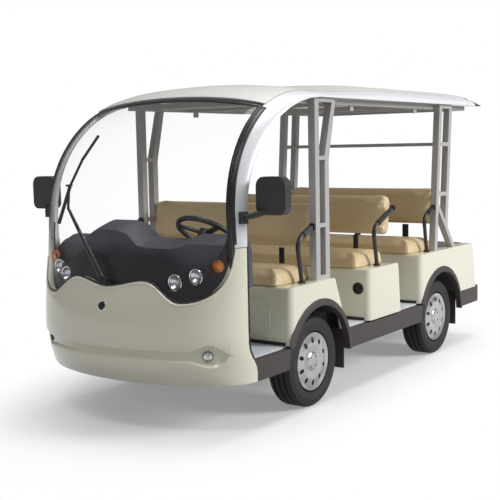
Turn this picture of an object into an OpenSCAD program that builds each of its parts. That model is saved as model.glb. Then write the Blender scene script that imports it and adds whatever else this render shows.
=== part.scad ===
// Open-sided electric shuttle bus with three forward-facing benches.
// Millimetres. +X is forward, +Y is the bus's left, +Z is up, and the
// origin is on the ground below the middle of the bus.

/* [Overall] */
// Distance between the axles
wheelbase = 1780; // [1600:10:2000]
// Front axle to the foremost point of the nose
front_overhang = 1100; // [1040:10:1200]
// Rear axle to the rearmost point of the bumper
rear_overhang = 820; // [760:10:900]
// Width across the body sides
body_w = 1480; // [1400:10:1560]

/* [Running gear] */
// Outside diameter of the tyres
tyre_d = 560; // [520:5:570]
// Width of the tyres
tyre_w = 165; // [145:5:175]
// Diameter of the rim at the bead seats
rim_d = 342; // [320:2:356]
// Distance between the middles of the left and right tyres
track = 1264; // [1240:2:1270]
// Kingpin axis to the middle of the tyre
kingpin_offset = 32; // [28:1:38]
// Radius of the kingpins
kingpin_r = 14; // [10:1:16]
// Radius of the wheel spindles
spindle_r = 16; // [12:1:20]
// Number of slots round a wheel cover
cover_slots = 10; // [6:1:12]

/* [Floor and chassis] */
// Height of the floor's upper face
floor_z = 425; // [410:5:440]
// Thickness of the floor
floor_t = 30; // [20:2:40]
// Height of the sill covers
sill_h = 122; // [90:2:130]
// Thickness of the sill covers
sill_t = 40; // [20:2:50]
// Width of a chassis rail
rail_w = 60; // [40:2:80]
// Height of a chassis rail
rail_h = 72; // [60:2:76]
// Middle plane to the middle of a chassis rail
rail_y = 330; // [300:5:350]

/* [Nose and roof] */
// Height of the body's lower edge
skirt_z = 295; // [270:5:310]
// Height of the joint between the cowl and the roof arches
split_z = 1050; // [1020:10:1090]
// Height where the roof arches start to curve back
arch_z = 1200; // [1150:10:1250]
// Length of the curved part of a roof arch
arch_a = 815; // [780:5:840]
// Height of the underside of the roof's side
roof_z = 1877; // [1840:1:1930]
// Rise of the roof from its side to its middle
roof_rise = 130; // [100:5:150]
// Rise of the roof's crown at its front
front_rise = 80; // [70:2:150]
// Length of the rounded rear end of the roof
tail_round = 170; // [120:10:220]
// Wall thickness of the roof arches
arch_t = 40; // [30:2:50]
// Wall thickness of the cowl
cowl_t = 45; // [40:1:60]
// Thickness of the roof panel
roof_t = 26; // [16:2:30]
// How far the roof panel stands proud of the arches
roof_proud = 10; // [4:1:14]
// Thickness of the windscreen glass
glass_t = 6; // [4:1:8]
// Depth of the groove across the bumper
groove_depth = 30; // [10:1:34]

/* [Wheel arches] */
// Radius of the wheel arches
arch_r = 340; // [335:1:350]
// How far an arch's middle lies behind its axle
arch_back = 40; // [25:1:45]
// Width of a flare across its face
flare_w = 42; // [30:1:45]
// How far a flare stands proud of the body side
flare_proud = 12; // [6:1:20]

/* [Seats] */
// Height of the seat boxes
seat_z = 770; // [740:5:790]
// Wall thickness of the seat boxes
box_t = 16; // [12:1:18]
// Front axle to the front of the first seat box
row1_fwd = 292; // [288:1:310]
// Front axle back to the front of the second seat box
row2_back = 665; // [640:5:690]
// Rear axle to the front of the third seat box
row3_fwd = 324; // [315:1:340]
// Depth of a cushion from front to back
cushion_d = 395; // [370:5:405]
// Thickness of a cushion
cushion_h = 92; // [70:2:110]
// Body side to the end of a bench
bench_inset = 85; // [75:1:120]
// Height of a backrest
back_h = 300; // [260:5:340]
// Thickness of a backrest
back_t = 78; // [60:2:90]
// Gap between a cushion and its backrest
back_gap = 95; // [80:5:110]
// Lean of the backrests in degrees
back_lean = 8; // [4:1:12]

/* [Pillars] */
// Width of a pillar post seen from the side
post_w = 48; // [40:1:54]
// Depth of a pillar post across the bus
post_d = 48; // [36:1:52]
// Diameter of the handrails
handrail_d = 30; // [24:1:36]

/* [Controls] */
// Diameter of the steering wheel
steer_d = 370; // [340:5:390]
// Tilt of the steering column from the vertical in degrees
steer_tilt = 34; // [30:1:50]

/* [Hidden] */
// Small clearances between fitted pieces
fit = 0.3;
run_fit = 0.05;
body_l = front_overhang + wheelbase + rear_overhang;
nose_x = body_l/2;
tail_x = -body_l/2;
axle_f = nose_x - front_overhang;
axle_r = axle_f - wheelbase;
half_w = body_w/2;
wheel_r = tyre_d/2;
wheel_y = track/2;
kingpin_y = wheel_y - kingpin_offset;
door_x = nose_x - 385;          // front edge of the door opening
floor_low = floor_z - floor_t;
sill_top = floor_z - 10;
sill_low = sill_top - sill_h;
row1_x = axle_f + row1_fwd;
row2_x = axle_f - row2_back;
row3_x = axle_r + row3_fwd;
well_r = arch_r + 12;           // cut in the walls round a wheel
well_y = 385;                   // inner side of a wheel well
flare_lip = 30;                 // depth of a flare's turned-in lip
arch_f = axle_f - arch_back;
arch_b = axle_r - arch_back;
box1_d = 510;                   // top depths of the three seat boxes
box2_d = 423;
box3_rear_x = tail_x + 195;
rear_deck_z = seat_z + 15;
glass_deg = 74;                 // plan angle of the windscreen's lower corner
header_deg = 60;                // plan angle of the windscreen's upper corner
header_phi = 57;                // place of the windscreen's upper edge on the arch
panel_gap = 0.05;               // plan angle left between neighbouring skins
roof_front_x = door_x - arch_a;
roof_end_x = tail_x + 6;
roof_flat_x = roof_end_x + tail_round;
pillar_y0 = half_w - arch_t + 12 - post_d;
pillar_y1 = pillar_y0 + post_d;
bench_side = half_w - bench_inset;
steer_c = [axle_f + 560, half_w - 400, floor_z + 675];

CREAM = [0.90, 0.88, 0.78];
SILVER = [0.80, 0.81, 0.83];
PILLAR_GREY = [0.66, 0.66, 0.66];
CHARCOAL = [0.22, 0.20, 0.20];
BLACK = [0.08, 0.08, 0.09];
TAN = [0.77, 0.66, 0.46];
STEEL = [0.25, 0.26, 0.28];

// Shared helpers
function lerp(a, b, t) = a + (b - a)*t;
function smooth(t) = let (c = min(1, max(0, t))) c*c*(3 - 2*c);
function unit(v) = v/norm(v);
function turn(v, a) = [v.x*cos(a) - v.y*sin(a), v.x*sin(a) + v.y*cos(a)];

// Points of the arc that rounds corner q, coming from p and leaving for s
function corner(p, q, s, rad, steps) =
    let (u = unit(p - q), v = unit(s - q), half = acos(u*v)/2,
         middle = q + unit(u + v)*rad/sin(half), start = q + u*rad/tan(half) - middle,
         side = sign(u.x*v.y - u.y*v.x), sweep = side*(2*half - 180))
    [for (i = [0:steps]) middle + turn(start, sweep*i/steps)];

// Outline of straight sides whose corners are rounded by the third column
function outline(rows, steps = 5) =
    [for (i = [0:len(rows) - 1])
        let (n = len(rows), a = rows[(i + n - 1) % n], b = rows[i], c = rows[(i + 1) % n])
        each b[2] > 0
            ? corner([a.x, a.y], [b.x, b.y], [c.x, c.y], b[2], steps)
            : [[b.x, b.y]]];

// Side-view shape (x, z) made solid from y0 to y1
module slab(y0, y1) {
    rotate([90, 0, 0]) translate([0, 0, -y1]) linear_extrude(y1 - y0) children();
}

module both_sides() {
    children();
    mirror([0, 1, 0]) children();
}

// Rod between two points
module rod(a, b, r) {
    d = b - a;
    translate(a) rotate([0, acos(d.z/norm(d)), atan2(d.y, d.x)]) cylinder(h = norm(d), r = r, $fn = 32);
}

// Closed skin between two surfaces, each a function of row and column
module skin(rows, cols, outer, inner) {
    w = cols + 1;
    n = (rows + 1)*w;
    points = concat(
        [for (r = [0:rows]) for (c = [0:cols]) outer(r/rows, c/cols)],
        [for (r = [0:rows]) for (c = [0:cols]) inner(r/rows, c/cols)]);
    function at(r, c, side) = side*n + r*w + c;
    function quad(a, b, c, d) = [[a, b, c], [a, c, d]];
    faces = concat(
        [for (r = [0:rows - 1]) for (c = [0:cols - 1])
            each quad(at(r, c, 0), at(r, c + 1, 0), at(r + 1, c + 1, 0), at(r + 1, c, 0))],
        [for (r = [0:rows - 1]) for (c = [0:cols - 1])
            each quad(at(r, c, 1), at(r + 1, c, 1), at(r + 1, c + 1, 1), at(r, c + 1, 1))],
        [for (r = [0:rows - 1])
            each quad(at(r, 0, 0), at(r + 1, 0, 0), at(r + 1, 0, 1), at(r, 0, 1))],
        [for (r = [0:rows - 1])
            each quad(at(r, cols, 0), at(r, cols, 1), at(r + 1, cols, 1), at(r + 1, cols, 0))],
        [for (c = [0:cols - 1])
            each quad(at(0, c, 0), at(0, c, 1), at(0, c + 1, 1), at(0, c + 1, 0))],
        [for (c = [0:cols - 1])
            each quad(at(rows, c, 0), at(rows, c + 1, 0), at(rows, c + 1, 1), at(rows, c, 1))]);
    polyhedron(points, faces, convexity = 6);
}

// The body surface from the bumper over the windscreen to the roof's tail.
// A station u is a place on the door edge: 0 to 1 climbs the cowl, 1 to 2
// follows the arch, 2 to 3 runs along the roof and 3 to 4 rounds its tail.
// Each station is a half ellipse across the bus, by plan angle from its middle.

// Columns: height, and how far the nose stands ahead of the door edge's line
NOSE = [[295, 305], [330, 346], [400, 374], [450, 382], [560, 385], [650, 379], [725, 366],
    [780, 348], [830, 328], [900, 306], [1050, 270], [1200, 235]];
arch_proud = 235;
tail_deg = 66;

function sill_sweep(z) = 75*smooth((520 - z)/170);
function station(u) =
    u <= 1 ? let (z = lerp(skirt_z, arch_z, u))
        [door_x - sill_sweep(z), z, 1, 0, lookup(z, NOSE) + sill_sweep(z)]
    : u <= 2 ? let (phi = 90*(u - 1))
        [door_x - arch_a + arch_a*cos(phi), arch_z + (roof_z - arch_z)*sin(phi),
            cos(phi), sin(phi), lerp(arch_proud, front_rise, phi/90)]
    : u <= 3 ? [lerp(roof_front_x, roof_flat_x, u - 2), roof_z, 0, 1,
        lerp(front_rise, roof_rise, smooth((u - 2)/0.45))]
    : let (a = tail_deg*(u - 3))
        [roof_flat_x - tail_round*sin(a), roof_z, 0, 1, roof_rise*cos(a)];
function on_body(u, theta, inset) =
    let (s = station(u), proud = max(2, s[4] - inset)*cos(theta))
    [s[0] + s[2]*proud, (half_w - inset)*sin(theta), s[1] + s[3]*proud];
// Outward direction of the body surface, by small steps on it
function body_normal(u, theta, inset) =
    let (a = on_body(u, theta - 0.5, inset), b = on_body(u, theta + 0.5, inset),
         c = on_body(u - 0.005, theta, inset), d = on_body(u + 0.005, theta, inset))
    unit(cross(b - a, d - c));
// Turns a piece made along +Z to stand on a surface at p
module stand_on(p, n) {
    translate(p) rotate([0, acos(n.z), atan2(n.y, n.x)]) children();
}
function u_of_z(z) = (z - skirt_z)/(arch_z - skirt_z);
header_u = 1 + header_phi/90;
split_u = u_of_z(split_z);

// Height of the windscreen's wavy lower edge at a plan angle
edge_dip = 830;
edge_peak = 869;
edge_tip = 757;
peak_deg = 20;
tip_deg = 40;
edge_gap = 1.2;
function edge_z(theta) =
    let (a = abs(theta))
    a <= peak_deg ? lerp(edge_dip, edge_peak, smooth(a/peak_deg))
    : a <= tip_deg ? lerp(edge_peak, edge_tip, smooth((a - peak_deg)/(tip_deg - peak_deg)))
    : a < glass_deg ? split_z - (split_z - edge_tip)*sqrt(1 - pow((a - tip_deg)/(glass_deg - tip_deg), 2))
    : split_z;

// Groove across the bumper, opening into an eye round each fog lamp
fog_deg = 57;
fog_z = 468;
groove_end = 71;
function groove_half(theta) =
    max(10, (30 + 34*smooth(1 - abs(abs(theta) - fog_deg)/13))*smooth((groove_end + 1 - abs(theta))/8));
function groove_fade(theta) = groove_depth*smooth((groove_end - abs(theta))/5);

// Rows of the cowl below, across and above the groove. Columns across it:
// share of the groove's half height, share of its depth
LOW_ROWS = [295, 315, 345, 378];
GROOVE_ROWS = [[-1.15, 0], [-1, 0.05], [-0.84, 0.5], [-0.6, 0.88], [0, 0.94], [0.6, 1], [0.94, 1],
    [1.02, 0.05], [1.15, 0]];
HIGH_ROWS = [565, 605, 660];
module front_cowl() {
    upper = 5;
    low = len(LOW_ROWS);
    eye = low + len(GROOVE_ROWS);
    fixed = eye + len(HIGH_ROWS) - 1;
    rows = fixed + upper;
    lift = skirt_z - LOW_ROWS[0];
    function row_z(i, theta) =
        i < low ? LOW_ROWS[i] + lift
        : i < eye ? fog_z + groove_half(theta)*GROOVE_ROWS[i - low][0]
        : i <= fixed ? HIGH_ROWS[i - eye]
        : lerp(HIGH_ROWS[fixed - eye], edge_z(theta) - edge_gap, (i - fixed)/upper);
    function sunk(i, theta) = i < low || i >= eye ? 0 : groove_fade(theta)*GROOVE_ROWS[i - low][1];
    function angle_at(c) = lerp(-90, 90, c);
    color(CREAM) skin(rows, 180/cowl_step,
        function (r, c) let (a = angle_at(c), i = round(r*rows)) on_body(u_of_z(row_z(i, a)), a, sunk(i, a)),
        function (r, c) let (a = angle_at(c), i = round(r*rows)) on_body(u_of_z(row_z(i, a)), a, cowl_t));
}

// Columns of the glass stand on the same plan angles as those of the cowl
cowl_step = 3;
glass_turns = floor(glass_deg/cowl_step);
GLASS_COLS = concat([-glass_deg], [for (i = [-glass_turns:glass_turns]) i*cowl_step], [glass_deg])/glass_deg;
function glass_theta(s, r) = s*lerp(glass_deg, header_deg, r);
module glass_skin(low, high, share, inset, thick, rows) {
    cols = len(GLASS_COLS) - 1;
    function side_at(c) = max(-share, min(share, GLASS_COLS[round(c*cols)]));
    function place(r, c, deep) = let (s = side_at(c), k = lerp(low, high, r))
        on_body(lerp(u_of_z(edge_z(s*glass_deg)), header_u, k), glass_theta(s, k), deep);
    skin(rows, cols, function (r, c) place(r, c, inset), function (r, c) place(r, c, inset + thick));
}

glass_rows = 16;
module windscreen() {
    color([0.75, 0.82, 0.85, 0.35]) glass_skin(0, 0.999, 0.999, 3, glass_t, glass_rows);
}

// Dark inner panel behind the foot of the windscreen
lamp_inset = 34;
module lamp_panel() {
    color(BLACK) difference() {
        glass_skin(0.0045, 0.16, 0.9992, lamp_inset, 10, 5);
        both_sides() for (row = concat(LAMPS, [INDICATOR])) translate(lamp_place(row)) rotate([0, 90, 0])
            cylinder(h = 120, r = row[2] + fit, center = true, $fn = 48);
    }
}

// Columns: plan angle, height, radius, depth behind the body surface
LAMPS = [[36.2, 862, 47, 44], [48.4, 895, 45, 46]];
INDICATOR = [63.5, 950, 34, 42];
lamp_deep = 40;
function lamp_place(row) = on_body(u_of_z(row[1]), row[0], row[3]);

// Round lamp along +Z: cup, rim and domed lens
module lamp(r, deep) {
    rotate_extrude($fn = 48)
        polygon([[0, -deep], [r*0.6, -deep], [r, -deep*0.35], [r, 0], [r*0.88, 0],
            for (a = [60:-15:0]) [r*0.88*sin(a)/sin(60), 9*(cos(a) - cos(60))/(1 - cos(60)) - 6]]);
}

module headlamps() {
    color([0.82, 0.84, 0.86]) both_sides() for (row = LAMPS)
        translate(lamp_place(row)) rotate([0, 90, 0]) lamp(row[2], lamp_deep);
}

module indicators() {
    color([0.85, 0.40, 0.05]) both_sides()
        translate(lamp_place(INDICATOR)) rotate([0, 90, 0]) lamp(INDICATOR[2], lamp_deep - 8);
}

// Fog lamps stand on the floor of the groove's eyes
fog_r = 30;
module fog_lamps() {
    seat = groove_depth*0.92;
    color([0.82, 0.84, 0.86]) both_sides()
        stand_on(on_body(u_of_z(fog_z), fog_deg, seat), body_normal(u_of_z(fog_z), fog_deg, seat))
            rotate_extrude($fn = 48) polygon([[0, 0], [fog_r, 0], [fog_r, 9], [fog_r - 4, 12],
                [fog_r - 5, 9], for (a = [60:-15:0]) [(fog_r - 5)*sin(a)/sin(60), 4 + 6*(cos(a) - 0.5)/0.5]]);
}

// Plain round cap on the nose
cap_z = 725;
cap_r = 24;
module nose_cap() {
    u = u_of_z(cap_z);
    color(BLACK) stand_on(on_body(u, 0, -0.4), body_normal(u, 0, 0)) rotate_extrude($fn = 48)
        polygon([[0, 0], [cap_r, 0], [cap_r, 5], [cap_r*0.75, 8], [cap_r*0.7, 6], [0, 6]]);
}

// Wiper: two spindles below the glass, twin arm bars and one blade on the glass
// Columns: plan angle, height on the body surface
WIPER_PIVOT = [-0.6, 863];
function on_arch(share) = lerp(arch_z, roof_z, share);
WIPER_KNEE = [-30.5, on_arch(0.058)];
WIPER_HEAD = [-32.6, on_arch(0.208)];
BLADE = [[-39.9, arch_z - 41], [-32.6, on_arch(0.208)], [-28.6, on_arch(0.384)], [-25.1, on_arch(0.5495)]];
arm_off = 24;
blade_off = 17;
function u_high(z) = z <= arch_z ? u_of_z(z) : 1 + asin((z - arch_z)/(roof_z - arch_z))/90;
function on_glass(place, off) = on_body(u_high(place[1]), place[0], -off);
// Flat bar from a to b, standing t off the glass and w wide, a little past its end
module bar(a, b, t, w) {
    d = b - a;
    translate(a) rotate([0, acos(d.z/norm(d)), atan2(d.y, d.x)]) translate([-w/2, -t/2, -3]) cube([w, t, norm(d) + 6]);
}
module wiper() {
    color(BLACK) {
        for (side = [-1, 1]) {
            shift = [0.6*side, 0];
            foot = WIPER_PIVOT + 2*shift;
            knee = on_glass(WIPER_KNEE + shift, arm_off);
            bar(on_glass(foot, arm_off), knee, 7, 9);
            bar(knee, on_glass(WIPER_HEAD + shift, arm_off), 6, 8);
            stand_on(on_glass(foot, -1.8), body_normal(u_of_z(foot[1]), foot[0], 3))
                cylinder(h = arm_off + 10, r = 11, $fn = 32);
        }
        bar(on_glass(WIPER_HEAD - [2, 0], arm_off), on_glass(WIPER_HEAD + [2, 0], arm_off), 15, 12);
        for (i = [0:len(BLADE) - 2])
            bar(on_glass(BLADE[i], blade_off), on_glass(BLADE[i + 1], blade_off), 20 - i, 14 - i);
    }
}

// Dashboard: a moulding from the foot of the windscreen to the driver
dash_rear_x = door_x - 110;
dash_low = floor_z + 340;
dash_top = floor_z + 668;
hump = 94;
dash_side = half_w - cowl_t - 0.5;
// The hump in the middle and the raised end ahead of the driver
function dash_z(y) = dash_top + hump*smooth((y + 390)/150)*smooth((110 - y)/150)
    + 30*smooth((y - 340)/70)*smooth((dash_side - y)/90) - 40*smooth((-y - 560)/120);
module dashboard() {
    front = 150;
    function angle_at(c) = lerp(-88, 88, c);
    function y_at(c) = dash_side*sin(angle_at(c));
    function x_at(r, c) = lerp(door_x + front*cos(angle_at(c)), dash_rear_x, r);
    color(CHARCOAL) difference() {
        skin(8, 28,
            function (r, c) [x_at(r, c), y_at(c), dash_z(y_at(c)) - 60*(1 - r)*(1 - r) - 85*pow(r, 6)],
            function (r, c) [x_at(r, c), y_at(c), dash_low + 60*r]);
        rod(steer_c - steer_axis*500, steer_c, column_r + fit);
    }
}

column_r = 26;
column_l = 320;
steer_axis = [-sin(steer_tilt), 0, cos(steer_tilt)];
module steering_column() {
    color(BLACK) rod(steer_c - steer_axis*column_l, steer_c - steer_axis*34, column_r);
}

// Steering wheel: rim, three spokes and a hub, made flat and then tilted
module steering_wheel() {
    color(BLACK) translate(steer_c) rotate([0, -steer_tilt, 0]) {
        rim_r = 15;
        ring_r = steer_d/2 - rim_r;
        rotate_extrude($fn = 72) translate([ring_r, 0]) circle(r = rim_r, $fn = 24);
        translate([0, 0, -34 + fit]) cylinder(h = 44, r = 42, $fn = 48);
        for (a = [180, 60, -60]) rotate([0, 0, a]) translate([30, -16, -10]) cube([ring_r - 30, 32, 12]);
    }
}

// Roof arches: windscreen pillars that run on as the roof's sides
module roof_arch() {
    rows_up = glass_rows;
    rows = rows_up + roof_rows;
    function place(r) = let (i = round(r*rows))
        i <= rows_up ? lerp(split_u + 0.001, header_u, i/rows_up)
        : lerp(header_u, 4, (i - rows_up)/(rows - rows_up));
    function edge(r) = let (i = round(r*rows)) lerp(glass_deg, header_deg, min(1, i/rows_up)) + panel_gap;
    skin(rows, 7,
        function (r, c) on_body(place(r), lerp(edge(r), 90, c), 0),
        function (r, c) on_body(place(r), lerp(edge(r), 90, c), arch_t));
}
module roof_arches() {
    color(SILVER) both_sides() roof_arch();
}

roof_rows = 28;
module roof_panel() {
    color(CREAM) skin(roof_rows, 20,
        function (r, c) on_body(lerp(header_u, 4, r), (header_deg - panel_gap)*lerp(-1, 1, c), -roof_proud),
        function (r, c) on_body(lerp(header_u, 4, r), (header_deg - panel_gap)*lerp(-1, 1, c), roof_t - roof_proud));
}

// Tubes under the roof: two side rails, cross tubes and lamp brackets
cant_h = 36;
cant_d = 30;
module roof_frame() {
    color(PILLAR_GREY) {
        front_x = roof_front_x + 180;
        rear_x = roof_flat_x;
        y1 = pillar_y0 - fit;
        both_sides() translate([rear_x, y1 - cant_d, roof_z - cant_h]) cube([front_x - rear_x, cant_d, cant_h]);
        for (x = [front_x - 40, axle_f - 92, axle_f - 560, axle_r + 240, axle_r - 110, rear_x])
            translate([x, -y1 + cant_d, roof_z - cant_h]) cube([40, 2*(y1 - cant_d), cant_h]);
        both_sides() for (x = [axle_f - 640, axle_r + 200])
            translate([x, y1 - cant_d, roof_z - cant_h - 34]) cube([46, 12, 34]);
    }
}

// Middle pillar in side view: a straight post, a post that leans back at
// its head, and rungs between them
mid_front = axle_f - 45;
mid_rear = axle_f - 205;
mid_head = axle_f - 295;
module mid_pillars() {
    color(PILLAR_GREY) both_sides() slab(pillar_y0, pillar_y1) {
        low = seat_z;
        top = roof_z - 2.2;
        knee = low + 730;
        rung = 26;
        difference() {
            polygon([[mid_front, low], [mid_front, top], [mid_head, top], [mid_rear, knee], [mid_rear, low]]);
            polygon([[mid_front - post_w, knee + rung], [mid_front - post_w, top - rung],
                [mid_head + post_w, top - rung], [mid_rear + post_w, knee + rung]]);
            for (z = [[low + rung, low + 320], [low + 320 + rung, knee]])
                polygon([[mid_front - post_w, z[0]], [mid_front - post_w, z[1]],
                    [mid_rear + post_w, z[1]], [mid_rear + post_w, z[0]]]);
        }
    }
}

// Rear pillar: two leaning posts with rungs, and a strut down to the deck
module rear_pillars() {
    low = rear_deck_z;
    top = roof_z;
    lean = 92;
    foot = axle_r + 30;
    gap = 226;
    rung = 30;
    rung_z = [lerp(low, top, 0.371), lerp(low, top, 0.714)];
    strut_z = low + 350;
    join_z = low + 190;
    bar_z = lerp(low, top, 0.728);
    function front_at(z) = foot - lean*(z - low)/(top - low);
    function frame(z0, z1, x0, x1) = [[front_at(z0) - x0, z0], [front_at(z1) - x0, z1],
        [front_at(z1) - x1, z1], [front_at(z0) - x1, z0]];
    color(PILLAR_GREY) {
        both_sides() slab(pillar_y0, pillar_y1) {
            difference() {
                polygon(frame(join_z, top, 0, gap));
                for (z = [[join_z - 1, rung_z[0]], [rung_z[0] + rung, rung_z[1]], [rung_z[1] + rung, top - rung]])
                    polygon(frame(z[0], z[1], post_w, gap - post_w));
            }
            polygon(frame(low, join_z + 1, 0, post_w));
            polygon([[front_at(join_z) - gap + post_w, join_z + 1], [front_at(join_z) - gap, join_z + 1],
                [front_at(join_z) - gap, join_z - 55]]);
            polygon([[front_at(strut_z), strut_z], [front_at(low) - 330, low],
                [front_at(low) - 330 - post_w, low], [front_at(strut_z) - post_w, strut_z]]);
        }
        rod([front_at(bar_z) - gap/2, -pillar_y0, bar_z], [front_at(bar_z) - gap/2, pillar_y0, bar_z], 13);
    }
}

// Chassis: two rails and cross members, with the tow plate at the rear
module chassis_frame() {
    top = floor_low;
    front_x = nose_x - 170;
    rear_x = tail_x + 150;
    low = top - rail_h;
    plate_z = rear_low - 24;
    color(STEEL) {
        difference() {
            union() {
                both_sides() translate([rear_x, rail_y - rail_w/2, low]) cube([front_x - rear_x, rail_w, rail_h]);
                for (x = [front_x - rail_w, axle_f + 330, axle_f - 380, axle_r + 470, axle_r - 400, rear_x])
                    translate([x, -rail_y, low + 6]) cube([rail_w, 2*rail_y, rail_h - 12]);
                translate([tail_x + 20, -60, plate_z]) cube([190, 120, tow_t]);
                translate([rear_x + 10, -60, plate_z]) cube([16, 120, low + 10 - plate_z]);
            }
            translate([tail_x + 60, 0, plate_z - 50]) cylinder(h = 100, r = tow_r, $fn = 48);
        }
        both_sides() for (x = [axle_f + 330, axle_r - 490])
            translate([x, rail_y + rail_w/2 - 1, top - 46]) cube([rail_w, 330, 40]);
    }
}
tow_t = 14;
tow_r = 12;
rear_low = 300;                 // lower edge of the rear bumper

// Floor: one plate with a rounded front and a notch at each wheel
module floor_deck() {
    side = half_w - sill_t;
    rear_x = tail_x + 190;
    front = [for (a = [90:-6:-90]) let (p = on_body(u_of_z(floor_low), a, cowl_t + 3.2)) [p.x, p.y]];
    color([0.72, 0.76, 0.80]) translate([0, 0, floor_low]) linear_extrude(floor_t) difference() {
        polygon(concat(front, [[door_x - 92, -side], [rear_x, -side], [rear_x, side], [door_x - 92, side]]));
        for (s = [-1, 1]) {
            notch(arch_f - well_r - 1, row1_x - 4, s);
            notch(arch_b - well_r - 1, row3_x - 4, s);
        }
    }
}
module notch(x0, x1, side) {
    translate([x0, side > 0 ? well_y - 6 : -well_y + 6 - 1000]) square([x1 - x0, 1000]);
}

// Sill covers along the door openings
module side_sills() {
    step = sill_h/6;
    color(CHARCOAL) both_sides() difference() {
        slab(half_w - sill_t + fit, half_w) polygon(concat(
            [for (z = [sill_low:step:sill_top + 1]) [door_x - sill_sweep(z) - 0.5, z]],
            [[arch_b + 200, sill_top], [arch_b + 200, sill_low]]));
        for (x = [arch_f, arch_b]) translate([x, half_w, wheel_r]) rotate([90, 0, 0])
            cylinder(h = 200, r = well_r, center = true, $fn = 96);
    }
}

// Hollow seat box from its side view, open below
module seat_box(rows) {
    inner = [for (p = rows) [p.x, p.y]];
    difference() {
        intersection() {
            slab(-half_w, half_w) polygon(outline(rows));
            box_plan(rows);
        }
        slab(-half_w + box_t, half_w - box_t) polygon(shrunk(inner, box_t));
    }
}
// Plan of a seat box, with rounded vertical edges at its front
box_round = 40;
module box_plan(rows) {
    x1 = max([for (p = rows) p.x]);
    x0 = min([for (p = rows) p.x]);
    linear_extrude(seat_z + 200)
        polygon(outline([[x0, -half_w, 0], [x1, -half_w, box_round], [x1, half_w, box_round], [x0, half_w, 0]]));
}
// A four-sided side view pulled in by a wall and opened downwards
function shrunk(p, t) = [[p[0].x - t, p[0].y - 50], [p[1].x - t, p[1].y - t],
    [p[2].x + t, p[2].y - t], [p[3].x + t, p[3].y - 50]];
module arch_cut(x) {
    both_sides() translate([x, half_w - flare_lip - 1, wheel_r]) rotate([-90, 0, 0])
        cylinder(h = 100, r = well_r, $fn = 96);
}

rear_slope = 75;
// Side views of the seat boxes. Columns: x, z, corner radius
BOX1 = [[row1_x, floor_z, 0], [row1_x, seat_z, 24], [row1_x - box1_d, seat_z, 24],
    [row1_x - box1_d - 145, floor_z, 0]];
BOX2 = [[row2_x, floor_z, 0], [row2_x, seat_z, 24], [row2_x - box2_d, seat_z, 24],
    [row2_x - box2_d - 32, floor_z, 0]];
BOX3 = [[row3_x, floor_z, 0], [row3_x, rear_deck_z, 24], [box3_rear_x, rear_deck_z, 20],
    [box3_rear_x - rear_slope, floor_z, 0]];
module seat_base_front() {
    color(CREAM) difference() {
        seat_box(BOX1);
        arch_cut(arch_f);
        access_panel(row1_x);
    }
}
module seat_base_middle() {
    color(CREAM) difference() {
        seat_box(BOX2);
        translate([row2_x - box_t - 1, port_y, port_z]) rotate([0, 90, 0]) cylinder(h = 60, r = port_r, $fn = 48);
    }
}
module rear_body() {
    color(CREAM) difference() {
        seat_box(BOX3);
        arch_cut(arch_b);
        access_panel(row3_x);
    }
}
// Shallow pressed panel on the front of a seat box
module access_panel(x) {
    difference() {
        translate([x - 3, 0, (floor_z + seat_z)/2 + 30]) rotate([0, 90, 0]) linear_extrude(10)
            polygon(outline([[-100, -560, 40], [-100, 560, 40], [170, 560, 0], [170, -560, 0]]));
        translate([x - 4, 0, (floor_z + seat_z)/2 + 30]) rotate([0, 90, 0]) linear_extrude(12)
            polygon(outline([[-88, -548, 32], [-88, 548, 32], [171, 548, 0], [171, -548, 0]]));
    }
}

// Charging inlet in the second seat box
port_y = half_w - 85;
port_z = floor_z + 213;
port_r = 40;
module charge_port() {
    color(BLACK) translate([row2_x - box_t, port_y, port_z]) rotate([0, 90, 0]) {
        difference() {
            cylinder(h = box_t + 4, r = port_r - fit, $fn = 48);
            translate([0, 0, 6]) cylinder(h = 40, r = port_r - 8, $fn = 48);
        }
        translate([0, 0, 5]) cylinder(h = 8, r = 12, $fn = 32);
    }
}

module battery_pack() {
    color(STEEL) translate([row2_x - box2_d + 40, -560, floor_z + fit])
        cube([box2_d - 80, 1120, seat_z - floor_z - 70]);
}

// Bench cushion, side view rounded and ends rounded in plan
module cushion(x, z) {
    color(TAN) intersection() {
        slab(-bench_side, bench_side) polygon(outline([[x + 8, z, 14], [x + 8, z + cushion_h, 34],
            [x - cushion_d, z + cushion_h, 26], [x - cushion_d, z, 14]]));
        translate([0, 0, z - 5]) linear_extrude(cushion_h + 10)
            polygon(outline([[x + 8, -bench_side, 45], [x + 8, bench_side, 45],
                [x - cushion_d, bench_side, 30], [x - cushion_d, -bench_side, 30]]));
    }
}
module backrest(x, z) {
    color(TAN) translate([back_x(x), 0, z]) rotate([0, -back_lean, 0]) intersection() {
        slab(-bench_side, bench_side) polygon(outline([[0, 0, 20], [0, back_h, 34],
            [-back_t, back_h, 30], [-back_t, 0, 20]]));
        slab_x(-back_t - 5, 5) polygon(outline([[-bench_side, 0, 40], [bench_side, 0, 40],
            [bench_side, back_h, 60], [-bench_side, back_h, 60]]));
    }
}
// Front-view shape (y, z) made solid from x0 to x1
module slab_x(x0, x1) {
    rotate([90, 0, 90]) translate([0, 0, x0]) linear_extrude(x1 - x0) children();
}
// Columns: front of the seat box, height its cushion lies on, half width of its posts
ROWS = [[row1_x, seat_z, 18], [row2_x, seat_z, 18], [row3_x, rear_deck_z, 24]];
module seat_cushion(i) { cushion(ROWS[i][0], ROWS[i][1] + fit); }
module seat_back(i) { backrest(ROWS[i][0], ROWS[i][1] + cushion_h + back_gap); }

// Front of a backrest's foot, for a seat box that starts at x
function back_x(x) = x - cushion_d + 5;
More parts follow.
